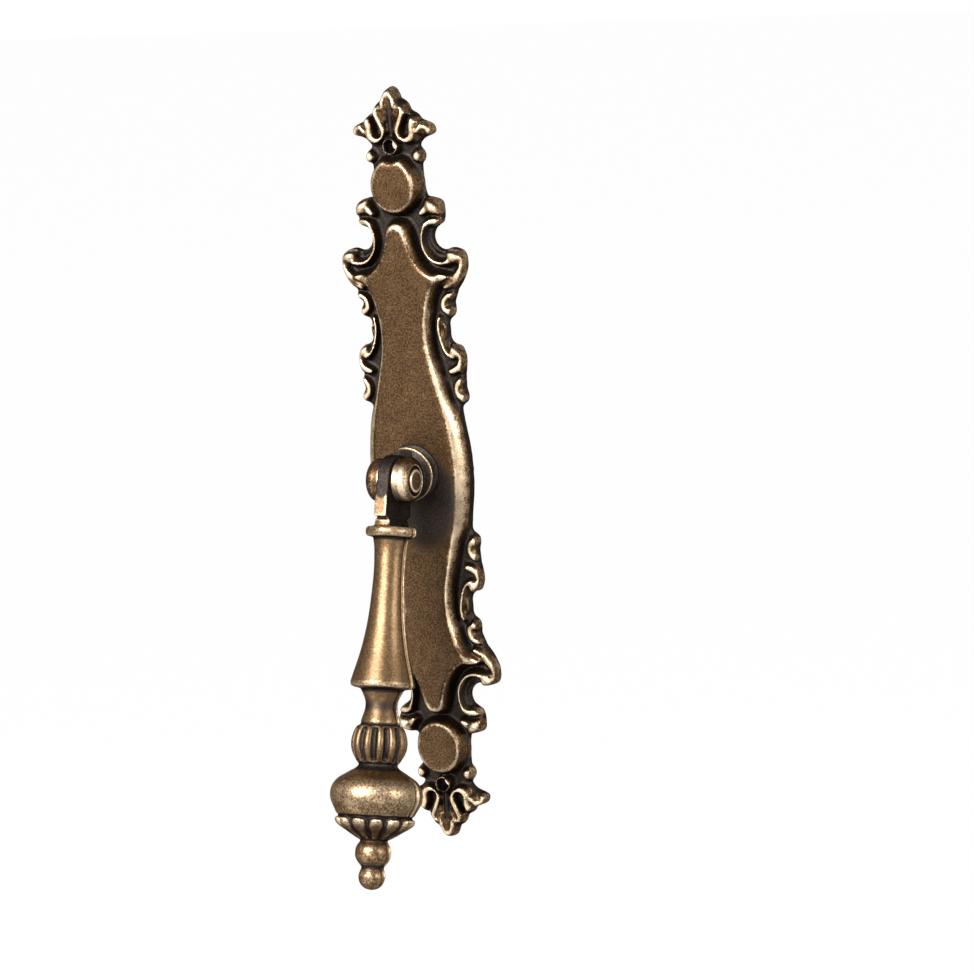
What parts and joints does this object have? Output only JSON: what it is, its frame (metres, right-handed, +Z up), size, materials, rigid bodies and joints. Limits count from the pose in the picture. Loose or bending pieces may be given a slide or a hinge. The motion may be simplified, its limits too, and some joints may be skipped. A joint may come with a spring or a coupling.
{
  "type": "drop pull",
  "caption": "Ornamental cast drop pull: scrolled backplate with a screw hole at each end and a turned drop that swings on a pin in a forked post.",
  "frame": {"origin": "centre of the backplate's flat back face", "axes": "+Z up along the plate, -Y out of the plate's front, +X to the right seen from the front"},
  "size_m": [0.0272, 0.0395, 0.1515],
  "materials": {
    "plate_bronze": "antique bronze, near black in the recesses and worn bright on the edges",
    "post_bronze": "antique bronze, rubbed bright on the high points",
    "pin_bronze": "antique bronze, peened ends",
    "drop_bronze": "antique bronze, satin, dark in the grooves"
  },
  "bodies": {
    "mounted": {"backplate": "plate_bronze", "pivot_post": "post_bronze", "pivot_pin": "pin_bronze"},
    "drop": {"drop_handle": "drop_bronze"}
  },
  "joints": [
    {"name": "drop_swing", "type": "hinge", "parent": "mounted", "child": "drop", "pos_m": [0, -0.01265, 0], "axis": [-1, 0, 0], "range_deg": [-16, 161]}
  ]
}
